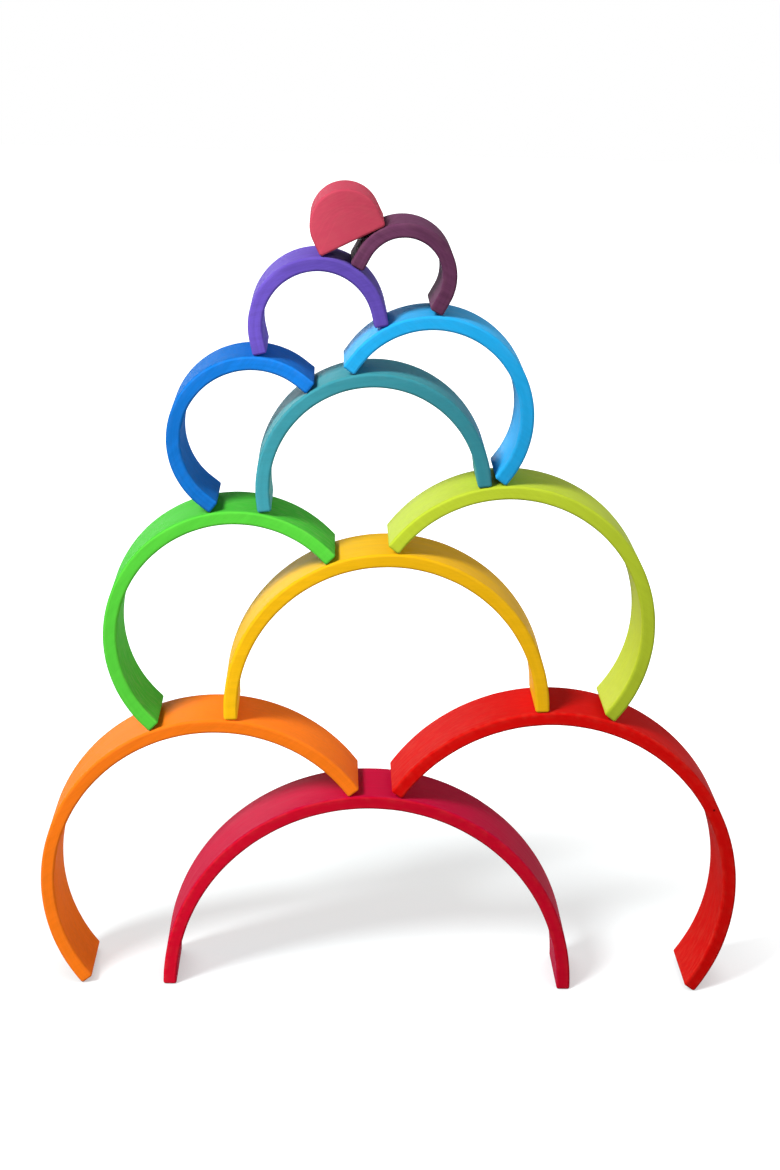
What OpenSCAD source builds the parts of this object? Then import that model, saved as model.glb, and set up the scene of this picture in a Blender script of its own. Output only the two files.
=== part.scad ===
// Rainbow stacker: eleven sawn wooden arches and a half-round block, stacked as a tower of loose pieces.
// Millimetres, +Z up, front faces towards -Y, origin on the floor under the middle of the tower.

/* [Nest] */

// Width of the half-round block at the heart of the nest
core_width = 61; // [44:0.5:90]

// Thickness of every arch
wall = 12.5; // [9:0.1:17]

// Saw cut between one piece and the next when they lie nested
saw_gap = 2; // [0.5:0.1:4]

// Length of every piece from its front face to its back face
depth = 72; // [30:1:120]

// Straight foot of the largest arch above its rounded sole edge
foot = 0.3; // [0.1:0.1:4]

// Straight foot that each piece has over the next larger one
foot_gain = 1.2; // [0:0.1:2.4]

// Radius of the sanded edges
edge = 1.2; // [0.5:0.1:2.5]

/* [Stacking] */

// Room left where one loose piece rests on another
rest_gap = 0.3; // [0.1:0.05:0.6]

// Degrees right of the magenta arch's top where the orange arch's right foot stands
orange_seat = -6.4; // [-9:0.1:-4]

// Degrees right of the magenta arch's top where the red arch's left foot stands
red_seat = 8.1; // [6:0.1:11]

// Degrees right of the orange arch's top where the yellow arch's left foot stands
yellow_seat = 2.4; // [0:0.1:4]

// Degrees right of the orange arch's top where the green arch's left foot stands
green_seat = -22.1; // [-25:0.1:-20]

// Degrees right of the yellow arch's top where the lime arch's left foot stands
lime_seat = 2.5; // [0:0.1:5]

// Degrees right of the green arch's top where the teal arch's left foot stands
teal_seat = 9.3; // [7:0.1:11]

// Degrees right of the green arch's top where the blue arch's left foot stands
blue_seat = -11.6; // [-14:0.1:-9]

// Degrees right of the teal arch's top where the sky arch's left foot stands
sky_seat = -10.7; // [-13:0.1:-8]

// Degrees right of the blue arch's top where the violet arch's left foot stands
violet_seat = 1; // [-2:0.1:4]

// Degrees right of the sky arch's top where the plum arch's right foot stands
plum_seat = 3.5; // [1:0.1:6]

// Degrees right of the violet arch's top where the half-round block's left edge stands
block_seat = 1.6; // [-2:0.1:5]

/* [Hidden] */

$fn = 96;

// Places in the nest, counted outwards from the half-round block
BLOCK = 0;
PLUM = 1;
VIOLET = 2;
BLUE = 3;
SKY = 4;
TEAL = 5;
GREEN = 6;
LIME = 7;
YELLOW = 8;
ORANGE = 9;
RED = 10;
MAGENTA = 11;

// Outer radius, straight leg up to the curve, and width of one sole
function radius(place) = core_width / 2 + place * (wall + saw_gap);
function leg(place) = edge + foot + foot_gain * (MAGENTA - place);
function sole(place) = place == BLOCK ? core_width : wall;

// Distance from the middle to the centre lines of a sole's two rounded edges
function outer_edge(place) = radius(place) - edge;
function inner_edge(place) = radius(place) - sole(place) + edge;

// A stacked piece is [place, x, z, lean], with x and z of its base and lean in degrees to the left
FLOOR = undef;
function turn(v, a) = [v.x * cos(a) - v.y * sin(a), v.x * sin(a) + v.y * cos(a)];
function heart(piece) = [piece[1], piece[2]] + turn([0, leg(piece[0])], piece[3]);
function reach(piece) = radius(piece[0]) + rest_gap + edge;

// Centre of a sole edge that stands on a piece, seat degrees right of that piece's top
function perch(piece, seat) = heart(piece) + reach(piece) * [sin(seat), cos(seat)];

// Lean that brings the far sole, from near to far along the base, down on the floor or on a piece
function floor_lean(pivot, far, way) = -way * asin((pivot.y - edge) / far);
function piece_lean(pivot, near, far, way, piece) =
    let (
        to = heart(piece) - pivot,
        away = norm(to),
        tangent = sqrt(max(0, away ^ 2 - reach(piece) ^ 2)),
        arm = min(max(tangent, near), far)
    )
    way * (atan2(to.y, way * to.x) + acos((arm ^ 2 + away ^ 2 - reach(piece) ^ 2) / (2 * arm * away)));

// Stand the sole edge at x = toe on the piece below, and let the other foot down on what is across
function settle(place, toe, below, seat, across) =
    let (
        pivot = perch(below, seat),
        way = -sign(toe),
        near = abs(toe) + inner_edge(place),
        far = abs(toe) + outer_edge(place),
        lean = across == FLOOR
            ? floor_lean(pivot, far, way)
            : piece_lean(pivot, near, far, way, across),
        base = pivot - turn([toe, edge], lean)
    )
    [place, base.x, base.y, lean];

// The tower, from the floor up
magenta_at = [MAGENTA, 0, 0, 0];
orange_at = settle(ORANGE, inner_edge(ORANGE), magenta_at, orange_seat, FLOOR);
red_at = settle(RED, -inner_edge(RED), magenta_at, red_seat, FLOOR);
yellow_at = settle(YELLOW, -outer_edge(YELLOW), orange_at, yellow_seat, red_at);
green_at = settle(GREEN, -outer_edge(GREEN), orange_at, green_seat, yellow_at);
lime_at = settle(LIME, -inner_edge(LIME), yellow_at, lime_seat, red_at);
teal_at = settle(TEAL, -outer_edge(TEAL), green_at, teal_seat, lime_at);
blue_at = settle(BLUE, -outer_edge(BLUE), green_at, blue_seat, teal_at);
sky_at = settle(SKY, -inner_edge(SKY), teal_at, sky_seat, lime_at);
violet_at = settle(VIOLET, -outer_edge(VIOLET), blue_at, violet_seat, sky_at);
plum_at = settle(PLUM, outer_edge(PLUM), sky_at, plum_seat, violet_at);
block_at = settle(BLOCK, -outer_edge(BLOCK), violet_at, block_seat, plum_at);

// The orange arch is the furthest left and the red arch the furthest right
left_end = heart(orange_at).x - radius(ORANGE);
right_end = heart(red_at).x + radius(RED);
middle = (left_end + right_end) / 2;

// Rectangle with sanded corners, centred
module rounded_rectangle(width, length) {
    square([width - 2 * edge, length], center = true);
    square([width, length - 2 * edge], center = true);
    for (x = [-1, 1], y = [-1, 1])
        translate([x * (width / 2 - edge), y * (length / 2 - edge)])
            circle(edge);
}

// Side view of a foot: sanded along the floor, and running on upwards past the top of the leg
module foot_outline(width, height) {
    translate([0, height + edge])
        rounded_rectangle(width, 2 * (height + edge));
}

// Straight foot, sanded on its four upright edges and all round its sole
module straight_foot(width, height) {
    intersection() {
        linear_extrude(height)
            rounded_rectangle(width, depth);
        rotate([90, 0, 0])
            linear_extrude(depth, center = true)
                foot_outline(width, height);
        rotate([90, 0, 90])
            linear_extrude(width, center = true)
                foot_outline(depth, height);
    }
}

// Half-turn of the sanded cross-section about the heart of the curve
module bow(place) {
    translate([0, 0, leg(place)])
        rotate([90, 0, 0])
            rotate_extrude(angle = 180)
                intersection() {
                    translate([radius(place) - sole(place) / 2, 0])
                        rounded_rectangle(sole(place), depth);
                    translate([0, -depth / 2])
                        square([radius(place), depth]);
                }
}

// One arch of the nest, standing on the floor
module arch(place) {
    bow(place);
    for (side = [-1, 1])
        translate([side * (radius(place) - wall / 2), 0, 0])
            straight_foot(wall, leg(place));
}

// The solid block that fills the smallest arch
module half_round() {
    bow(BLOCK);
    straight_foot(core_width, leg(BLOCK));
}

// Move a piece from its standing position to its place in the tower
module stack(piece) {
    translate([piece[1] - middle, 0, piece[2]])
        rotate([0, -piece[3], 0])
            children();
}

module magenta_arch() { color([0.80, 0.10, 0.22]) stack(magenta_at) arch(MAGENTA); }
module orange_arch() { color([0.95, 0.49, 0.13]) stack(orange_at) arch(ORANGE); }
module red_arch() { color([0.77, 0.07, 0.05]) stack(red_at) arch(RED); }
module yellow_arch() { color([0.94, 0.72, 0.17]) stack(yellow_at) arch(YELLOW); }
module green_arch() { color([0.33, 0.82, 0.27]) stack(green_at) arch(GREEN); }
module lime_arch() { color([0.70, 0.78, 0.20]) stack(lime_at) arch(LIME); }
module teal_arch() { color([0.28, 0.58, 0.61]) stack(teal_at) arch(TEAL); }
module blue_arch() { color([0.11, 0.49, 0.86]) stack(blue_at) arch(BLUE); }
module sky_arch() { color([0.13, 0.63, 0.88]) stack(sky_at) arch(SKY); }
module violet_arch() { color([0.42, 0.34, 0.73]) stack(violet_at) arch(VIOLET); }
module plum_arch() { color([0.37, 0.21, 0.33]) stack(plum_at) arch(PLUM); }
module half_round_block() { color([0.78, 0.28, 0.37]) stack(block_at) half_round(); }

magenta_arch();
orange_arch();
red_arch();
yellow_arch();
green_arch();
lime_arch();
teal_arch();
blue_arch();
sky_arch();
violet_arch();
plum_arch();
half_round_block();
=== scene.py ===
"""Rainbow stacker: eleven stained limewood arches and a half-round block, dressed over their CAD solids.

Metres, +Z up, front faces towards -Y. Each piece is measured from its own solid, made again in the same
place as one hand-sanded surface, and stained in its own colour.
"""

import logging
import math
from dataclasses import dataclass
from enum import Enum

import bmesh
import bpy
import numpy as np
from mathutils import Matrix, Vector
from mathutils.geometry import convex_hull_2d


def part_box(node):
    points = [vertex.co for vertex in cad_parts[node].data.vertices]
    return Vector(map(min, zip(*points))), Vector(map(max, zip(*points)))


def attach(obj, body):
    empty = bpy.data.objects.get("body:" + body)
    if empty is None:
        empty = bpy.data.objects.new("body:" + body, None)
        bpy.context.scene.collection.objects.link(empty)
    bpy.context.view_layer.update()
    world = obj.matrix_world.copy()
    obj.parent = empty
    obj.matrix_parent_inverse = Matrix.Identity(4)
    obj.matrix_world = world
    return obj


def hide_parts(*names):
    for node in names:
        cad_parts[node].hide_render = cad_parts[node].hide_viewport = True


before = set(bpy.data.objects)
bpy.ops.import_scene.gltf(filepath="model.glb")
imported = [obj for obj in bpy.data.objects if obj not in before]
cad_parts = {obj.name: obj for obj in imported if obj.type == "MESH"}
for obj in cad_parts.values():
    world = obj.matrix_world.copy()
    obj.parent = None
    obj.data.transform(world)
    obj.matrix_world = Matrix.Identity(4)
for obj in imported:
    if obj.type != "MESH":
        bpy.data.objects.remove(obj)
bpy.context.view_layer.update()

MILLIMETRE = 0.001
BLACK = (0.0, 0.0, 0.0, 1.0)
WHITE = (1.0, 1.0, 1.0, 1.0)

log = logging.getLogger("rainbow_stacker")


class Channel(Enum):
    """Mesh attributes that carry a surface's own coordinates to its finish."""

    PLANK = "plank"
    STROKE = "stroke"
    LIE = "lie"


class Ray(Enum):
    """Outputs of the Light Path node for rays that should meet a white room."""

    CAMERA = "Is Camera Ray"
    GLOSSY = "Is Glossy Ray"
    TRANSMISSION = "Is Transmission Ray"


@dataclass(frozen=True)
class Pattern:
    """A noise in the wood, stretched along the axes of its coordinates.

    Per_metre is its number of cells in a metre along each axis, and layers its number of finer layers. Share
    is its part in the figure of the wood. Span holds the noise's values at which it sets in and is full.
    """

    per_metre: tuple[float, float, float]
    layers: float
    share: float = 0.0
    span: tuple[float, float] = (0.0, 1.0)


GRAIN = Pattern((9, 240, 240), 3.0, share=0.32)
FLECKS = Pattern((110, 1300, 1300), 1.0, share=0.14)
BLOTCHES = Pattern((26, 26, 26), 2.0, share=0.22)
STROKES = Pattern((16, 430, 1), 3.0, share=0.32, span=(0.30, 0.70))
MOTTLE = Pattern((90, 340, 90), 3.0, span=(0.40, 0.68))
PATCHES = Pattern((120, 160, 160), 2.0, span=(0.35, 0.70))


class Sheet:
    """A node tree being drawn up, with short calls for its common nodes."""

    def __init__(self, tree: bpy.types.NodeTree) -> None:
        """Start from an empty tree."""
        self.tree = tree
        tree.nodes.clear()

    def add(self, kind: str, **settings: object) -> bpy.types.Node:
        """Add a node.

        Args:
            kind: Blender's type name of the node.
            **settings: properties of the node and their values.

        Returns:
            The new node.
        """
        node = self.tree.nodes.new(kind)
        for name, value in settings.items():
            setattr(node, name, value)
        return node

    def put(self, value: object, socket: bpy.types.NodeSocket) -> None:
        """Link a socket to another one, or set it to a plain value.

        Args:
            value: the socket to link it to, or the value to set.
            socket: the input that takes it.
        """
        if isinstance(value, bpy.types.NodeSocket):
            self.tree.links.new(value, socket)
        else:
            socket.default_value = value

    def maths(self, operation: str, first: object, second: object = 0.0,
              third: object = 0.0) -> bpy.types.NodeSocket:
        """Add a Math node.

        Args:
            operation: Blender's name of the operation.
            first: first number or socket.
            second: second number or socket.
            third: third number or socket, for operations that have one.

        Returns:
            The result's socket.
        """
        node = self.add("ShaderNodeMath", operation=operation)
        for value, socket in zip((first, second, third), node.inputs):
            self.put(value, socket)
        return node.outputs["Value"]

    def product(self, first: object, second: object, third: object) -> bpy.types.NodeSocket:
        """Multiply three numbers or sockets."""
        return self.maths("MULTIPLY", self.maths("MULTIPLY", first, second), third)

    def ramp(self, value: object, low: float, high: float, start: float = 0.0,
             end: float = 1.0) -> bpy.types.NodeSocket:
        """Carry a value smoothly from one range to another.

        Args:
            value: the socket to carry over.
            low: value that gives the start.
            high: value that gives the end.
            start: result at and below low.
            end: result at and above high.

        Returns:
            The result's socket.
        """
        node = self.add("ShaderNodeMapRange", interpolation_type="SMOOTHSTEP")
        for number, socket in zip((value, low, high, start, end), node.inputs):
            self.put(number, socket)
        return node.outputs["Result"]

    def mix(self, factor: object, first: object, second: object,
            blend: str = "MIX") -> bpy.types.NodeSocket:
        """Mix two colours.

        Args:
            factor: share of the second colour.
            first: first colour or socket.
            second: second colour or socket.
            blend: how the second colour is laid over the first.

        Returns:
            The mixed colour's socket.
        """
        node = self.add("ShaderNodeMix", data_type="RGBA", blend_type=blend)
        colours = [socket for socket in node.inputs if socket.type == "RGBA"]
        self.put(factor, node.inputs["Factor"])
        self.put(first, colours[0])
        self.put(second, colours[1])
        return next(socket for socket in node.outputs if socket.type == "RGBA")

    def noise(self, vector: object, pattern: Pattern) -> bpy.types.NodeSocket:
        """Add the noise of a pattern.

        Args:
            vector: socket of the coordinates, in metres.
            pattern: how the noise is stretched and layered.

        Returns:
            The noise's value socket, about 0.5 on average.
        """
        stretch = self.add("ShaderNodeMapping")
        self.put(vector, stretch.inputs["Vector"])
        self.put(pattern.per_metre, stretch.inputs["Scale"])
        node = self.add("ShaderNodeTexNoise")
        self.put(stretch.outputs["Vector"], node.inputs["Vector"])
        self.put(1.0, node.inputs["Scale"])
        self.put(pattern.layers, node.inputs["Detail"])
        return node.outputs["Fac"]

    def shifted(self, vector: object, by: tuple[float, ...]) -> bpy.types.NodeSocket:
        """Move coordinates.

        Args:
            vector: socket of the coordinates.
            by: distance to move them along each axis, in metres.

        Returns:
            The moved coordinates' socket.
        """
        node = self.add("ShaderNodeVectorMath", operation="ADD")
        self.put(vector, node.inputs[0])
        self.put(by, node.inputs[1])
        return node.outputs["Vector"]

    def apart(self, vector: object) -> bpy.types.Node:
        """Take a vector apart.

        Args:
            vector: socket of the vector.

        Returns:
            The node, whose outputs are X, Y and Z.
        """
        node = self.add("ShaderNodeSeparateXYZ")
        self.put(vector, node.inputs["Vector"])
        return node

    def channel(self, channel: Channel) -> bpy.types.NodeSocket:
        """Read one of the piece's own mesh attributes as a vector."""
        return self.add("ShaderNodeAttribute", attribute_name=channel.value).outputs["Vector"]


def linear(shade: tuple[int, int, int]) -> tuple[float, ...]:
    """Turn a screen colour of 0 to 255 into the linear colour that a shader takes.

    Args:
        shade: red, green and blue as a screen shows them.

    Returns:
        Linear red, green and blue, and an opaque alpha.
    """
    screen = np.array(shade) / 255
    light = np.where(screen <= 0.04045, screen / 12.92, ((screen + 0.055) / 1.055) ** 2.4)
    return (*light.tolist(), 1.0)


def blended(first: tuple[float, ...], second: tuple[float, ...], share: float) -> tuple[float, ...]:
    """Give the linear colour a share of the way from the first to the second, or back from it if negative."""
    return tuple(a + (b - a) * share for a, b in zip(first, second))


@dataclass(frozen=True)
class PinKnot:
    """A tiny dark knot on a front face.

    Across and up are its place on the upright piece. Heart is the share of its radius that is fully dark.
    """

    across: float
    up: float
    radius: float = 1.7 * MILLIMETRE
    heart: float = 0.3
    shade: tuple[int, int, int] = (92, 6, 8)

    def mask(self, sheet: Sheet, plank: bpy.types.NodeSocket,
             front: bpy.types.NodeSocket) -> bpy.types.NodeSocket:
        """Mark the knot: full over its heart and gone at its radius, on the front face alone.

        Args:
            sheet: the tree being drawn up.
            plank: the upright piece's own coordinates.
            front: how squarely the surface faces the front, from 1 down to -1 at the back.

        Returns:
            The mask's socket.
        """
        place = sheet.apart(plank)
        across = sheet.maths("SUBTRACT", place.outputs["X"], self.across)
        up = sheet.maths("SUBTRACT", place.outputs["Z"], self.up)
        squares = sheet.maths("MULTIPLY_ADD", up, up, sheet.maths("MULTIPLY", across, across))
        away = sheet.maths("SQRT", squares)
        spot = sheet.ramp(away, self.heart * self.radius, self.radius, 1.0, 0.0)
        return sheet.maths("MULTIPLY", spot, sheet.maths("MAXIMUM", front, 0.0))


@dataclass(frozen=True)
class Stain:
    """A thin water stain on sanded limewood, so that the grain and the rubbed edges show through it.

    The falloff along the plank is the share by which the flat faces are painted darker along a metre of it,
    and lighter where it is negative: painted shade, as of light that falls off across the piece. The curved
    faces get a tint on red, green and blue next to the flat ones, which is painted shade where it darkens
    them and painted sheen where it lightens them, and its span is how squarely a surface faces the front or
    the back where they give way to the flat ones. Bare_ends is how much of the wood shows through on end
    grain, rubbed how much of the stain is rubbed off the edges, and worn how far that goes to bare wood.
    """

    slot: str
    shade: tuple[int, int, int]
    painted_falloff: float = 0.0
    bent_shade_and_sheen: tuple[float, float, float] = (1.0, 1.0, 1.0)
    bent_shade_and_sheen_span: tuple[float, float] = (0.2, 0.9)
    bare_ends: float = 0.015
    knot: PinKnot | None = None
    wood: tuple[int, int, int] = (228, 200, 158)
    depth_of_grain: float = 0.05
    figure_span: tuple[float, float] = (0.38, 0.62)
    board_step: tuple[float, float, float] = (0.37, 0.21, 0.53)
    rubbed: float = 0.035
    worn: float = 0.45
    gloss: float = 0.004
    smoothest: float = 0.45
    roughest: float = 0.61
    relief: float = 0.10 * MILLIMETRE
    relief_strength: float = 0.25

    def material(self, seed: int) -> bpy.types.Material:
        """Draw up the stained wood.

        The strokes of sandpaper make it smoother and rougher, and the figure of the wood stands up a little.

        Args:
            seed: number of the piece, which picks its place in the board.

        Returns:
            The finished material.
        """
        made = bpy.data.materials.new(self.slot)
        made.use_nodes = True
        sheet = Sheet(made.node_tree)
        plank = sheet.channel(Channel.PLANK)
        board = sheet.shifted(plank, tuple(step * seed for step in self.board_step))
        strokes = sheet.noise(sheet.channel(Channel.STROKE), STROKES)
        figure = self.figure(sheet, board, strokes)
        relief = sheet.add("ShaderNodeBump")
        sheet.put(self.relief_strength, relief.inputs["Strength"])
        sheet.put(self.relief, relief.inputs["Distance"])
        sheet.put(figure, relief.inputs["Height"])
        shader = sheet.add("ShaderNodeBsdfPrincipled")
        dull = sheet.ramp(strokes, *STROKES.span, self.smoothest, self.roughest)
        sheet.put(self.taken(sheet, plank, board, figure), shader.inputs["Base Color"])
        sheet.put(dull, shader.inputs["Roughness"])
        sheet.put(self.gloss, shader.inputs["Specular IOR Level"])
        sheet.put(relief.outputs["Normal"], shader.inputs["Normal"])
        output = sheet.add("ShaderNodeOutputMaterial")
        sheet.put(shader.outputs["BSDF"], output.inputs["Surface"])
        made.diffuse_color = linear(self.shade)
        return made

    def figure(self, sheet: Sheet, board: bpy.types.NodeSocket,
               strokes: bpy.types.NodeSocket) -> bpy.types.NodeSocket:
        """Draw the figure of the wood, as the sum of its patterns times their shares.

        The grain is a noise drawn out along the plank, with short flecks in it. The stain has taken unevenly,
        so broad blotches lie over the grain, and fine strokes of sandpaper run along the piece.

        Args:
            sheet: the tree being drawn up.
            board: coordinates of the board that the piece was sawn from.
            strokes: noise of the sandpaper's strokes.

        Returns:
            The figure's socket, about 0.5 on average.
        """
        figure = sheet.maths("MULTIPLY", strokes, STROKES.share)
        for pattern in (GRAIN, FLECKS, BLOTCHES):
            figure = sheet.maths("MULTIPLY_ADD", sheet.noise(board, pattern), pattern.share, figure)
        return figure

    def taken(self, sheet: Sheet, plank: bpy.types.NodeSocket, board: bpy.types.NodeSocket,
              figure: bpy.types.NodeSocket) -> bpy.types.NodeSocket:
        """Colour the wood as it has taken the stain.

        The stain is deep or pale with the figure of the wood. End grain lets some bare wood through, and the
        sanded edges are rubbed back towards it. The flat faces are painted darker towards one end of the
        plank, as painted shade of light falling off across the piece, and the curved ones get a painted tint:
        painted shade where it darkens them and painted sheen where it lightens them.

        Args:
            sheet: the tree being drawn up.
            plank: the upright piece's own coordinates.
            board: coordinates of the board that the piece was sawn from.
            figure: the figure of the wood.

        Returns:
            The colour's socket.
        """
        lie = sheet.apart(sheet.channel(Channel.LIE))
        stained, wood = linear(self.shade), linear(self.wood)
        deep = blended(stained, BLACK, self.depth_of_grain)
        pale = blended(stained, BLACK, -self.depth_of_grain)
        colour = sheet.mix(sheet.ramp(figure, *self.figure_span), deep, pale)
        mottle = sheet.ramp(sheet.noise(board, MOTTLE), *MOTTLE.span)
        colour = sheet.mix(sheet.product(lie.outputs["Y"], mottle, self.bare_ends), colour, wood)
        patches = sheet.ramp(sheet.noise(board, PATCHES), *PATCHES.span)
        rub = sheet.product(lie.outputs["X"], patches, self.rubbed)
        colour = sheet.mix(rub, colour, blended(stained, wood, self.worn))
        # Painted shade and sheen: how far a surface is a curved one, which takes the painted tint.
        bent_shade_and_sheen = sheet.ramp(sheet.maths("ABSOLUTE", lie.outputs["Z"]), *self.bent_shade_and_sheen_span, 1.0, 0.0)
        painted_tint = sheet.mix(1.0, colour, (*self.bent_shade_and_sheen, 1.0), "MULTIPLY")
        # Painted light: the flat faces get the painted falloff along the plank, the curved ones the painted
        # shade and sheen tint.
        colour = sheet.mix(bent_shade_and_sheen, self.with_painted_falloff(sheet, plank, colour), painted_tint)
        if self.knot is not None:
            mask = self.knot.mask(sheet, plank, lie.outputs["Z"])
            colour = sheet.mix(mask, colour, linear(self.knot.shade))
        return colour

    def with_painted_falloff(self, sheet: Sheet, plank: bpy.types.NodeSocket,
                colour: bpy.types.NodeSocket) -> bpy.types.NodeSocket:
        """Paint a light falloff along the plank: the brightness is one less the falloff times the place along
        it.

        Args:
            sheet: the tree being drawn up.
            plank: the upright piece's own coordinates.
            colour: the stain's colour so far.

        Returns:
            The colour's socket.
        """
        along = sheet.apart(plank).outputs["X"]
        painted_falloff_node = sheet.add("ShaderNodeHueSaturation")
        sheet.put(sheet.maths("MULTIPLY_ADD", along, -self.painted_falloff, 1.0), painted_falloff_node.inputs["Value"])
        sheet.put(colour, painted_falloff_node.inputs["Color"])
        return painted_falloff_node.outputs["Color"]


class Colour(Enum):
    """The twelve stains, from the largest arch to the block at the heart of the nest."""

    # The falloff and curved-face tints below are painted light: painted shade along each plank, and painted
    # shade and sheen on the curved faces.
    MAGENTA = Stain("magenta_stain", (193, 12, 39), painted_falloff=1.05, bent_shade_and_sheen=(0.90, 0.80, 2.00), gloss=0.007)
    RED = Stain("red_stain", (192, 12, 10), painted_falloff=1.0, bent_shade_and_sheen=(1.08, 1.70, 1.60), gloss=0.003,
                knot=PinKnot(0.0766, 0.1556))
    ORANGE = Stain("orange_stain", (247, 122, 26), bent_shade_and_sheen=(1.06, 1.12, 1.05), gloss=0.006)
    YELLOW = Stain("yellow_stain", (238, 181, 20), painted_falloff=0.95, gloss=0.010)
    LIME = Stain("lime_stain", (175, 193, 48), painted_falloff=1.7, bent_shade_and_sheen=(1.10, 1.08, 1.10), gloss=0.012)
    GREEN = Stain("green_stain", (92, 215, 65), painted_falloff=-0.55, bent_shade_and_sheen=(0.62, 0.79, 0.74), gloss=0.004,
                  bare_ends=0.14)
    TEAL = Stain("teal_stain", (62, 149, 162), painted_falloff=2.3, bent_shade_and_sheen=(1.06, 1.06, 0.97), gloss=0.010)
    SKY = Stain("sky_stain", (36, 167, 229), painted_falloff=1.9, bent_shade_and_sheen=(1.40, 1.06, 1.05), gloss=0.010)
    BLUE = Stain("blue_stain", (26, 126, 222), painted_falloff=-2.0, bent_shade_and_sheen=(0.60, 0.78, 0.78), gloss=0.002,
                 depth_of_grain=0.09)
    VIOLET = Stain("violet_stain", (107, 84, 190), painted_falloff=3.2, bent_shade_and_sheen=(1.05, 1.10, 1.02), gloss=0.002,
                   depth_of_grain=0.11)
    PLUM = Stain("plum_stain", (101, 56, 86), painted_falloff=4.0, gloss=0.002, depth_of_grain=0.16)
    BLOCK = Stain("block_stain", (205, 74, 96), painted_falloff=4.5, bent_shade_and_sheen=(0.92, 0.95, 0.95), gloss=0.001)


@dataclass(frozen=True)
class Stance:
    """How a piece stands in the tower: the middle of its base, its lean, half its width and its height."""

    base: tuple[float, float]
    lean: float
    half_width: float
    height: float

    @classmethod
    def measured(cls, node: str) -> "Stance":
        """Read a stance off a CAD solid.

        Seen from the front, the longest side of the solid's hull runs along its soles, so its slope is the
        lean. In a frame turned by that lean, the solid's box gives its width, its height and the middle of
        its base.

        Args:
            node: name of the CAD node.

        Returns:
            The stance of that solid.
        """
        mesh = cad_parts[node].data
        points = np.empty(len(mesh.vertices) * 3, np.float32)
        mesh.vertices.foreach_get("co", points)
        front = points.reshape(-1, 3)[:, [0, 2]].astype(float)
        hull = front[convex_hull_2d(front.tolist())]
        sides = np.roll(hull, -1, axis=0) - hull
        longest = sides[np.argmax(np.linalg.norm(sides, axis=1))]
        right = longest / np.linalg.norm(longest) * np.sign(longest[0])
        turned = np.stack([right, [-right[1], right[0]]])
        level = front @ turned.T
        low, high = level.min(axis=0), level.max(axis=0)
        width, height = high - low
        base = np.array([(low[0] + high[0]) / 2, low[1]]) @ turned
        return cls(tuple(base.tolist()), math.atan2(right[1], right[0]), width / 2, height)

    def placed(self, points: np.ndarray) -> np.ndarray:
        """Carry points of the upright piece to its place in the tower.

        Each point is turned by the lean about the middle of the base, which is then moved to where it stands.

        Args:
            points: array of x, y and z, in metres, with the base's middle at the origin.

        Returns:
            The points in the part's frame.
        """
        cosine, sine = math.cos(self.lean), math.sin(self.lean)
        x, y, z = np.moveaxis(points, -1, 0)
        right = self.base[0] + cosine * x - sine * z
        up = self.base[1] + sine * x + cosine * z
        return np.stack([right, y, up], axis=-1)


@dataclass(frozen=True)
class Outline:
    """A closed outline with sanded corners, as points of its core and outward normals of unit length."""

    core: np.ndarray
    normal: np.ndarray

    @classmethod
    def joined(cls, stretches: list[tuple[np.ndarray, np.ndarray]]) -> "Outline":
        """Join stretches of core points and normals in a ring, without each one's last point."""
        return cls(*(np.concatenate([stretch[part][:-1] for stretch in stretches]) for part in (0, 1)))


def bunched(half: float, count: int) -> np.ndarray:
    """Give numbers from -half to half that bunch towards both ends, as half times the sine of even steps."""
    return half * np.sin(np.linspace(-np.pi / 2, np.pi / 2, count))


def bend(centre: tuple[float, float], start: float, stop: float, radius: float,
         count: int) -> tuple[np.ndarray, np.ndarray]:
    """Make a round stretch of an outline's core.

    The normal at an angle is its cosine and sine, and the core point is the centre plus the radius times it.

    Args:
        centre: centre of the stretch.
        start: angle of the first point, in radians.
        stop: angle of the last point.
        radius: radius of the core there, which is nothing at a sanded corner.
        count: number of points.

    Returns:
        The core points and the normals.
    """
    angle = np.linspace(start, stop, count)
    normal = np.stack([np.cos(angle), np.sin(angle)], axis=-1)
    return np.array(centre) + radius * normal, normal


def run(start: np.ndarray, stop: np.ndarray, count: int) -> tuple[np.ndarray, np.ndarray]:
    """Make a straight stretch of an outline's core.

    A core point is the start plus its share of the way to the stop, and the normal is the way it runs, turned
    a quarter to the right.

    Args:
        start: first point.
        stop: last point.
        count: number of points, which bunch towards both ends.

    Returns:
        The core points and the normals.
    """
    share = (bunched(1.0, count) + 1)[:, None] / 2
    way = (stop - start) / np.linalg.norm(stop - start)
    return start + share * (stop - start), np.tile([way[1], -way[0]], (count, 1))


@dataclass(frozen=True)
class Stations:
    """Places along a path at which an outline stands, one row each.

    Across and along are the axes that the outline's two numbers are laid on. Swell is the share of the edge's
    radius by which the outline stands out from its core, scale the core's own size, and passed the distance
    from the path's start.
    """

    centre: np.ndarray
    across: np.ndarray
    along: np.ndarray
    swell: np.ndarray
    scale: np.ndarray
    passed: np.ndarray


@dataclass(frozen=True)
class Waver:
    """A slow unevenness from hand sanding: its depth, its number of sines, and the first one's wavelength."""

    depth: float
    waves: int
    longest: float
    scatter: float = 0.3

    def at(self, place: np.ndarray, seed: int) -> np.ndarray:
        """Give what is sanded off: the mean of sines of shorter and shorter wavelength, from 0 to the depth.

        Args:
            place: distances along the piece, in metres.
            seed: which piece's unevenness.

        Returns:
            An array like place, in metres.
        """
        draw = np.random.default_rng(seed)
        phase = draw.uniform(0, 2 * np.pi, self.waves)
        scattered = draw.uniform(-self.scatter, self.scatter, self.waves)
        length = self.longest / (1 + np.arange(self.waves) + scattered)
        sines = np.sin(2 * np.pi * place[..., None] / length + phase)
        return self.depth * (0.5 + 0.5 * sines.mean(axis=-1))


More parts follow.
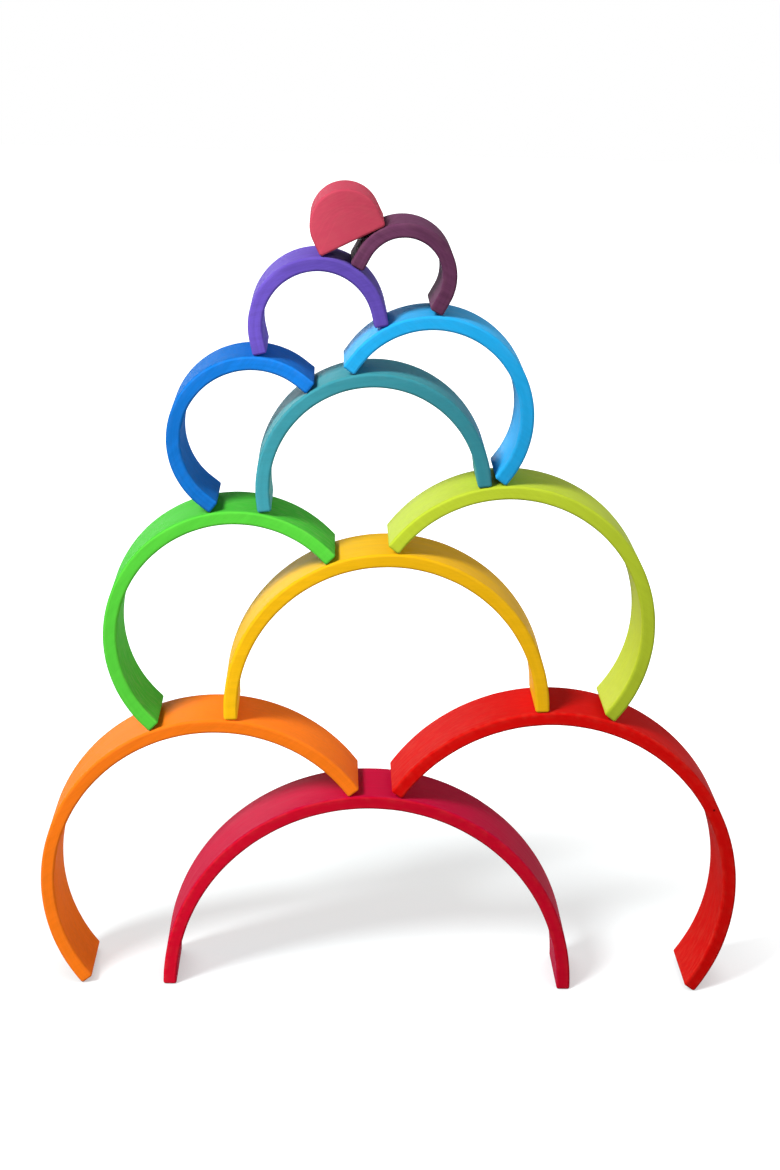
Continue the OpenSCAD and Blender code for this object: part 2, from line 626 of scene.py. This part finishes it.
@dataclass
class SawnPiece:
    """What every piece of the nest shares: its sanded edges, its stance, its mesh and its finish.

    Sanding is what a hand takes off the edges and ripple what it takes off the faces, at a slant. Ripple_seed
    keeps the draws of the two apart. A normal is on a corner where the product of its two numbers passes
    on_corner, and a station is on the edge of an end where its swell is within edge_swell.
    """

    node: str
    colour: Colour
    seed: int
    edge: float = 2.2 * MILLIMETRE
    rub_width: float = 2.6 * MILLIMETRE
    sanding: Waver = Waver(0.25 * MILLIMETRE, 5, 0.16)
    ripple: Waver = Waver(0.10 * MILLIMETRE, 4, 0.09)
    ripple_slant: float = 0.7
    ripple_seed: int = 100
    on_corner: float = 0.1
    edge_swell: tuple[float, float] = (0.05, 0.95)
    end_swell: float = 0.5
    end_grain_power: int = 3
    stroke_step: float = 0.1
    merge: float = 0.001 * MILLIMETRE
    corner_points: int = 7
    cap_rings: int = 4

    def __post_init__(self) -> None:
        """Measure the piece's stance and its depth on its CAD solid."""
        low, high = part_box(self.node)
        self.depth = high.y - low.y
        self.stance = Stance.measured(self.node)

    def outline(self) -> Outline:
        """Give the outline that is carried along the piece."""
        raise NotImplementedError

    def stations(self) -> Stations:
        """Give the places where the outline stands."""
        raise NotImplementedError

    def rounding(self) -> tuple[np.ndarray, np.ndarray, np.ndarray]:
        """Give the rows that close one end, from the middle of its flat face to the end of its sanded edge.

        On the flat face the core shrinks to nothing. Over the sanded edge, at an angle from 0 to a right
        angle, the way from the face is one less the cosine, times the edge's radius, and the swell is the
        sine.

        Returns:
            The distances from the end face, the swells, and how far in from its rim the core is, from 1 to 0.
        """
        angle = np.linspace(0, np.pi / 2, self.corner_points)
        inset = np.linspace(1, 0, self.cap_rings, endpoint=False)
        none = np.zeros(self.cap_rings)
        away = np.concatenate([none, self.edge * (1 - np.cos(angle))])
        swell = np.concatenate([none, np.sin(angle)])
        return away, swell, np.concatenate([inset, np.zeros(self.corner_points)])

    def surface(self) -> tuple[np.ndarray, dict[Channel, np.ndarray]]:
        """Carry the outline along its stations.

        A point is the station's centre, plus the core's first number times the scale along the across axis
        and its second along the along axis, plus the edge's radius times the swell along the normal. A hand
        with sandpaper takes a little off each edge, most at its middle, and leaves long shallow ripples on
        the faces.

        Returns:
            The points of the upright piece on a grid of stations and outline points, and its channels.
        """
        outline = self.outline()
        way = self.stations()
        rim = outline.core + self.edge * outline.normal
        girth = np.cumsum(np.linalg.norm(np.diff(rim, axis=0, append=rim[:1]), axis=1))
        off_edge = 2 * np.abs(outline.normal.prod(axis=1))
        worn = self.sanding.at(way.passed, self.seed)[:, None] * off_edge[None]
        slanted = way.passed[:, None] + self.ripple_slant * girth[None]
        shallow = self.ripple.at(slanted, self.seed + self.ripple_seed)
        swelled = (self.edge - worn - shallow) * way.swell[:, None]
        flat = outline.core[None] * way.scale[:, None] + swelled[..., None] * outline.normal[None]
        laid = flat[..., :1] * way.across[:, None] + flat[..., 1:] * way.along[:, None]
        points = way.centre[:, None] + laid
        return points, self.channels(points, flat, outline, way, girth)

    def channels(self, points: np.ndarray, flat: np.ndarray, outline: Outline, way: Stations,
                 girth: np.ndarray) -> dict[Channel, np.ndarray]:
        """Work out what the finish needs to know of the surface.

        The surface's normal is the outline's, times the swell, plus the end face's, times the root of one
        less the swell squared. Nearness to an edge falls off as a bell curve of the distance from it.

        Args:
            points: grid of points of the upright piece.
            flat: the same points in the plane of their outline.
            outline: the outline that was carried.
            way: the stations that it was carried along.
            girth: distance round the outline.

        Returns:
            The plank's own coordinates, the sandpaper's way, which goes along and round the piece and
            straight across its end faces, and its lie: how near an edge, how much end grain, and how squarely
            it faces the front.
        """
        shape = points.shape[:2]
        side = (outline.normal[None, :, :1] * way.across[:, None]
                + outline.normal[None, :, 1:] * way.along[:, None])
        outward = np.where(way.passed < way.passed.mean(), 1.0, -1.0)
        end = np.cross(way.across, way.along) * (outward * np.sqrt(1 - way.swell**2))[:, None]
        normal = way.swell[:, None, None] * side + end[:, None]

        corner = np.abs(outline.normal.prod(axis=1)) > self.on_corner
        apart = np.abs(girth[:, None] - girth[corner][None])
        near_side = np.minimum(apart, girth[-1] - apart).min(axis=1)
        least, most = self.edge_swell
        sharp = (way.swell > least) & (way.swell < most)
        near_end = np.abs(way.passed[:, None] - way.passed[sharp][None]).min(axis=1)
        near = np.minimum(near_side[None], near_end[:, None])
        on_edge = np.exp(-((near / self.rub_width) ** 2))
        end_grain = np.abs(normal[..., 0]) ** self.end_grain_power
        lie = np.stack([on_edge, end_grain, -normal[..., 1]], axis=-1)

        along_piece, round_piece = np.broadcast_arrays(way.passed[:, None], girth[None])
        on_end = (way.swell < self.end_swell)[:, None, None]
        stroke = np.where(on_end, flat, np.stack([along_piece, round_piece], axis=-1))
        stroke = np.concatenate([stroke, np.full((*shape, 1), self.stroke_step * self.seed)], axis=-1)
        return {Channel.PLANK: points, Channel.STROKE: stroke, Channel.LIE: lie}

    def build(self) -> bpy.types.Object:
        """Make the piece's mesh in its place in the tower.

        Returns:
            The new object, at the origin, with its place in its mesh.
        """
        points, channels = self.surface()
        rows, columns = points.shape[:2]
        number = np.arange(rows * columns).reshape(rows, columns)
        nearer, further = number[:-1], number[1:]
        corners = [nearer, further, np.roll(further, -1, axis=1), np.roll(nearer, -1, axis=1)]
        faces = np.stack(corners, axis=-1).reshape(-1, 4)
        mesh = bpy.data.meshes.new(f"{self.node}_wood")
        mesh.from_pydata(self.stance.placed(points).reshape(-1, 3), [], faces)
        for channel, values in channels.items():
            layer = mesh.attributes.new(channel.value, "FLOAT_VECTOR", "POINT")
            layer.data.foreach_set("vector", np.ascontiguousarray(values, np.float32).ravel())
        closed = bmesh.new()
        closed.from_mesh(mesh)
        bmesh.ops.remove_doubles(closed, verts=closed.verts, dist=self.merge)
        if closed.calc_volume(signed=True) < 0:
            bmesh.ops.reverse_faces(closed, faces=closed.faces)
        closed.to_mesh(mesh)
        closed.free()
        mesh.shade_smooth()
        piece = bpy.data.objects.new(mesh.name, mesh)
        bpy.context.scene.collection.objects.link(piece)
        return piece

    def dress(self, piece: bpy.types.Object) -> None:
        """Stain the piece, let it move with its body, and stand it in for its solid.

        Args:
            piece: the object that was built.
        """
        stain = self.colour.value
        piece.data.materials.append(stain.material(self.seed))
        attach(piece, self.node)
        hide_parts(self.node)


@dataclass
class Arch(SawnPiece):
    """A sawn arch: an oblong section carried up one leg, round the half circle and down the other leg."""

    wall: float = 12.5 * MILLIMETRE
    step: float = 2.4 * MILLIMETRE
    depth_points: int = 24
    wall_points: int = 10

    def outline(self) -> Outline:
        """Give the oblong section, whose first axis is the wall and whose second is the depth.

        Each of its corners is a quarter turn about a corner of the core, followed by a straight run to the
        next one.

        Returns:
            The section, counted round from its outer face's front corner.
        """
        half = np.array([self.wall, self.depth]) / 2 - self.edge
        turns = np.array([[1, -1], [1, 1], [-1, 1], [-1, -1]]) * half
        sides = [self.depth_points, self.wall_points, self.depth_points, self.wall_points]
        stretches = []
        for quarter, (corner, count) in enumerate(zip(turns, sides)):
            angle = (quarter - 1) * np.pi / 2
            stretches.append(bend(corner, angle, angle + np.pi / 2, 0.0, self.corner_points))
            stretches.append(run(corner, turns[(quarter + 1) % 4], count))
        return Outline.joined(stretches)

    def stations(self) -> Stations:
        """Give the stations from the left sole over the top to the right sole.

        The section's middle goes straight up the leg, round a half circle about the heart, and straight down.
        At a distance along that way, the angle about the heart is a half turn less the distance past the leg
        over the radius, and the height is the distance to the nearer sole, up to the leg, plus the radius
        times the sine. The across axis always points away from the heart.

        Returns:
            The stations.
        """
        radius = self.stance.half_width - self.wall / 2
        leg = self.stance.height - self.stance.half_width
        length = 2 * leg + np.pi * radius
        away, swell, inset = self.rounding()
        between = np.linspace(self.edge, length - self.edge, math.ceil(length / self.step))[1:-1]
        passed = np.concatenate([away, between, length - away[::-1]])
        angle = np.pi - np.clip(passed - leg, 0, np.pi * radius) / radius
        upright = np.minimum(np.minimum(passed, length - passed), leg)
        level = np.zeros(len(passed))
        core = np.array([self.wall, self.depth]) / 2 - self.edge
        inward = np.concatenate([inset, np.zeros(len(between)), inset[::-1]])[:, None] * core.min()
        return Stations(
            centre=np.stack([radius * np.cos(angle), level, upright + radius * np.sin(angle)], axis=-1),
            across=np.stack([np.cos(angle), level, np.sin(angle)], axis=-1),
            along=np.tile([0.0, 1.0, 0.0], (len(passed), 1)),
            swell=np.concatenate([swell, np.ones(len(between)), swell[::-1]]),
            scale=1 - inward / core,
            passed=passed,
        )


@dataclass
class HalfRound(SawnPiece):
    """The solid half-round block at the heart of the nest: its outline carried from its front to its back."""

    base_points: int = 24
    leg_points: int = 8
    bow_points: int = 73
    depth_points: int = 28

    def outline(self) -> Outline:
        """Give the front outline, whose first axis is the width and whose second is the height.

        It is a straight run along the base, a quarter turn and a straight run up the right leg, a half turn
        over the bow, a straight run down the left leg, and a quarter turn back to the base.

        Returns:
            The outline, counted round from the left of its base.
        """
        radius = self.stance.half_width - self.edge
        leg = self.stance.height - self.stance.half_width
        low = np.array([[-radius, self.edge], [radius, self.edge]])
        high = np.array([[radius, leg], [-radius, leg]])
        return Outline.joined([
            run(low[0], low[1], self.base_points),
            bend(low[1], -np.pi / 2, 0, 0.0, self.corner_points),
            run(low[1], high[0], self.leg_points),
            bend((0.0, leg), 0, np.pi, radius, self.bow_points),
            run(high[1], low[0], self.leg_points),
            bend(low[0], np.pi, 1.5 * np.pi, 0.0, self.corner_points),
        ])

    def stations(self) -> Stations:
        """Give the stations from the front face to the back face.

        The path runs straight back through the middle of the base. On the two faces the core shrinks towards
        half the height, so the centre rises there by the waist times one less the scale.

        Returns:
            The stations.
        """
        away, swell, inset = self.rounding()
        half = self.depth / 2
        waist = self.stance.height / 2
        between = bunched(half - self.edge, self.depth_points)[1:-1]
        place = np.concatenate([away - half, between, half - away[::-1]])
        shrink = 1 - np.concatenate([inset, np.zeros(len(between)), inset[::-1]])
        count = len(place)
        return Stations(
            centre=np.stack([np.zeros(count), place, waist * (1 - shrink)], axis=-1),
            across=np.tile([1.0, 0.0, 0.0], (count, 1)),
            along=np.tile([0.0, 0.0, 1.0], (count, 1)),
            swell=np.concatenate([swell, np.ones(len(between)), swell[::-1]]),
            scale=np.stack([shrink, shrink], axis=-1),
            passed=place + half,
        )


@dataclass(frozen=True)
class PhotoCamera:
    """The camera's place and aim, fitted to the arches' edges, and its focal length in photograph pixels."""

    place: tuple[float, float, float] = (-0.0658, -1.8224, 0.9357)
    pan: float = 1.85
    tilt: float = 16.89
    roll: float = 1.67
    focal: float = 2120.0
    frame_height: float = 1170.0
    sensor: float = 36.0

    def build(self) -> None:
        """Make the camera: its aim is panned right and tilted down from +Y, then rolled about itself."""
        pan, tilt, roll = (math.radians(angle) for angle in (self.pan, self.tilt, self.roll))
        aim = Vector((math.sin(pan) * math.cos(tilt), math.cos(pan) * math.cos(tilt), -math.sin(tilt)))
        level = Vector((math.cos(pan), -math.sin(pan), 0.0))
        upright = level.cross(aim)
        right = math.cos(roll) * level + math.sin(roll) * upright
        top = math.cos(roll) * upright - math.sin(roll) * level
        data = bpy.data.cameras.new("photo_camera")
        data.sensor_fit = "AUTO"
        data.sensor_width = self.sensor
        data.lens = self.focal / self.frame_height * self.sensor
        camera = bpy.data.objects.new("photo_camera", data)
        turned = Matrix((right, top, -aim)).transposed().to_4x4()
        camera.matrix_world = Matrix.Translation(self.place) @ turned
        bpy.context.scene.collection.objects.link(camera)
        bpy.context.scene.camera = camera


@dataclass(frozen=True)
class Lamp:
    """A far lamp, whose strength of one renders a white wall that faces it as white.

    From_left is the degrees round from the front, by the left, height the degrees above the floor, and spread
    the degrees that the lamp takes up, seen from the object. Gloss_alone lets it show in the gloss only.
    """

    name: str
    strength: float
    from_left: float
    height: float
    spread: float
    gloss_alone: bool = False

    def build(self) -> None:
        """Hang the lamp and turn it to the object."""
        data = bpy.data.lights.new(self.name, "SUN")
        data.energy = self.strength * math.pi
        data.angle = math.radians(self.spread)
        lamp = bpy.data.objects.new(self.name, data)
        side, up = math.radians(self.from_left), math.radians(self.height)
        towards = Vector((-math.sin(side) * math.cos(up), -math.cos(side) * math.cos(up), math.sin(up)))
        lamp.rotation_euler = towards.to_track_quat("Z", "Y").to_euler()
        lamp.visible_diffuse = not self.gloss_alone
        bpy.context.scene.collection.objects.link(lamp)


@dataclass(frozen=True)
class Studio:
    """A white sweep under a pale sky, with a soft key lamp from the front left.

    A second lamp from the back left shows in the gloss alone. The floor has one colour where it is seen and
    another for the light that it sends back to the object. Floor_lift is its own glow in full shadow, painted
    light that lifts the shadow, contact the reach of the painted contact shade under the soles, and
    contact_dark how dark that painted shade gets.
    """

    back_glow: float = 1.50
    side_glow: float = 1.45
    front_glow: float = 0.77
    key: Lamp = Lamp("key_lamp", 1.18, from_left=47.0, height=44.0, spread=16.0)
    glare: Lamp = Lamp("glare_lamp", 0.5, from_left=155.0, height=12.0, spread=30.0, gloss_alone=True)
    floor_size: float = 16.0
    floor_seen: tuple[float, float, float] = (0.46, 0.50, 0.505)
    floor_bounce: tuple[float, float, float] = (0.24, 0.24, 0.24)
    floor_lift: float = 0.60
    contact: float = 0.04
    contact_dark: float = 0.66
    contact_span: tuple[float, float] = (0.3, 0.9)
    contact_rays: int = 8
    shadow_full: float = 0.36
    shadow_gone: float = 0.64
    shadow_centre: tuple[float, float, float] = (-0.12, -0.05, 0.0)

    def build(self) -> None:
        """Set up the sky, the two lamps and the floor."""
        bpy.context.scene.view_settings.view_transform = "Standard"
        self.build_sky()
        self.key.build()
        self.glare.build()
        self.build_floor()

    def white_rays(self, sheet: Sheet) -> bpy.types.NodeSocket:
        """Tell the rays that should meet a white room from those that only gather light.

        Args:
            sheet: the tree being drawn up.

        Returns:
            A socket that is 1 for the first and 0 for the second.
        """
        path = sheet.add("ShaderNodeLightPath")
        camera, glossy, transmission = (path.outputs[ray.value] for ray in Ray)
        return sheet.maths("MAXIMUM", camera, sheet.maths("MAXIMUM", glossy, transmission))

    def build_sky(self) -> None:
        """Light the object softly from a bright sweep behind it, a pale wall on its right and the front.

        The glow in a direction is the back's share times how far it points back, plus the side's share times
        how far it points right, plus the front's share times how far it points forward, and all of it dies
        away towards the ceiling. The room looks white all round.
        """
        world = bpy.data.worlds.new("pale_sky")
        bpy.context.scene.world = world
        world.use_nodes = True
        sheet = Sheet(world.node_tree)
        way = sheet.apart(sheet.add("ShaderNodeTexCoord").outputs["Generated"])
        right, back, up = (sheet.maths("MAXIMUM", way.outputs[axis], 0.0) for axis in "XYZ")
        forward = sheet.maths("MINIMUM", way.outputs["Y"], 0.0)
        glow = sheet.maths("MULTIPLY", back, self.back_glow)
        glow = sheet.maths("MULTIPLY_ADD", right, self.side_glow, glow)
        glow = sheet.maths("MULTIPLY_ADD", forward, -self.front_glow, glow)
        low = sheet.maths("SUBTRACT", 1.0, up)
        light = sheet.add("ShaderNodeBackground")
        sheet.put(sheet.maths("MULTIPLY", glow, low), light.inputs["Strength"])
        white = sheet.add("ShaderNodeBackground")
        for background in (light, white):
            sheet.put(WHITE, background.inputs["Color"])
        either = sheet.add("ShaderNodeMixShader")
        sheet.put(self.white_rays(sheet), either.inputs["Fac"])
        sheet.put(light.outputs["Background"], either.inputs[1])
        sheet.put(white.outputs["Background"], either.inputs[2])
        output = sheet.add("ShaderNodeOutputWorld")
        sheet.put(either.outputs["Shader"], output.inputs["Surface"])

    def build_floor(self) -> None:
        """Lay the pale floor, which looks white in the light, and on which the shadow fades with distance.

        Its own glow, painted light that washes the shadow out, goes from the lift to 1 between the two
        distances from the shadow's centre, and is painted darker close under the soles, as painted contact
        shade where little open air is left above it.
        """
        made = bpy.data.materials.new("pale_floor")
        made.use_nodes = True
        sheet = Sheet(made.node_tree)
        seen = sheet.add("ShaderNodeBsdfDiffuse")
        sheet.put((*self.floor_seen, 1.0), seen.inputs["Color"])
        bounce = sheet.add("ShaderNodeBsdfDiffuse")
        sheet.put((*self.floor_bounce, 1.0), bounce.inputs["Color"])
        away = sheet.add("ShaderNodeVectorMath", operation="DISTANCE")
        sheet.put(sheet.add("ShaderNodeTexCoord").outputs["Object"], away.inputs[0])
        sheet.put(self.shadow_centre, away.inputs[1])
        faded = sheet.ramp(away.outputs["Value"], self.shadow_full, self.shadow_gone, self.floor_lift, 1.0)
        open_air = sheet.add("ShaderNodeAmbientOcclusion", samples=self.contact_rays)
        sheet.put(self.contact, open_air.inputs["Distance"])
        # Painted contact shade: the floor's glow is darker where little open air is left above it.
        under = sheet.ramp(open_air.outputs["AO"], *self.contact_span, self.contact_dark, 1.0)
        lift = sheet.add("ShaderNodeEmission")
        sheet.put(sheet.maths("MULTIPLY", faded, under), lift.inputs["Strength"])
        bright = sheet.add("ShaderNodeAddShader")
        sheet.put(seen.outputs["BSDF"], bright.inputs[0])
        sheet.put(lift.outputs["Emission"], bright.inputs[1])
        either = sheet.add("ShaderNodeMixShader")
        sheet.put(self.white_rays(sheet), either.inputs["Fac"])
        sheet.put(bounce.outputs["BSDF"], either.inputs[1])
        sheet.put(bright.outputs["Shader"], either.inputs[2])
        output = sheet.add("ShaderNodeOutputMaterial")
        sheet.put(either.outputs["Shader"], output.inputs["Surface"])

        half = self.floor_size / 2
        corners = [(-half, -half, 0.0), (half, -half, 0.0), (half, half, 0.0), (-half, half, 0.0)]
        mesh = bpy.data.meshes.new("floor")
        mesh.from_pydata(corners, [], [(0, 1, 2, 3)])
        mesh.materials.append(made)
        floor = bpy.data.objects.new("floor", mesh)
        bpy.context.scene.collection.objects.link(floor)


def main() -> None:
    """Build the studio and the tower, piece by piece from the floor up."""
    logging.basicConfig(level=logging.INFO, format="%(name)s: %(message)s")
    PhotoCamera().build()
    Studio().build()
    tower = [Arch(f"{colour.name.lower()}_arch", colour, seed)
             for seed, colour in enumerate(Colour) if colour is not Colour.BLOCK]
    tower.append(HalfRound("half_round_block", Colour.BLOCK, len(Colour)))
    for piece in tower:
        made = piece.build()
        piece.dress(made)
        lean = math.degrees(piece.stance.lean)
        log.info("%s: %d faces, leans %.2f degrees", made.name, len(made.data.polygons), lean)


if __name__ == "__main__":
    main()
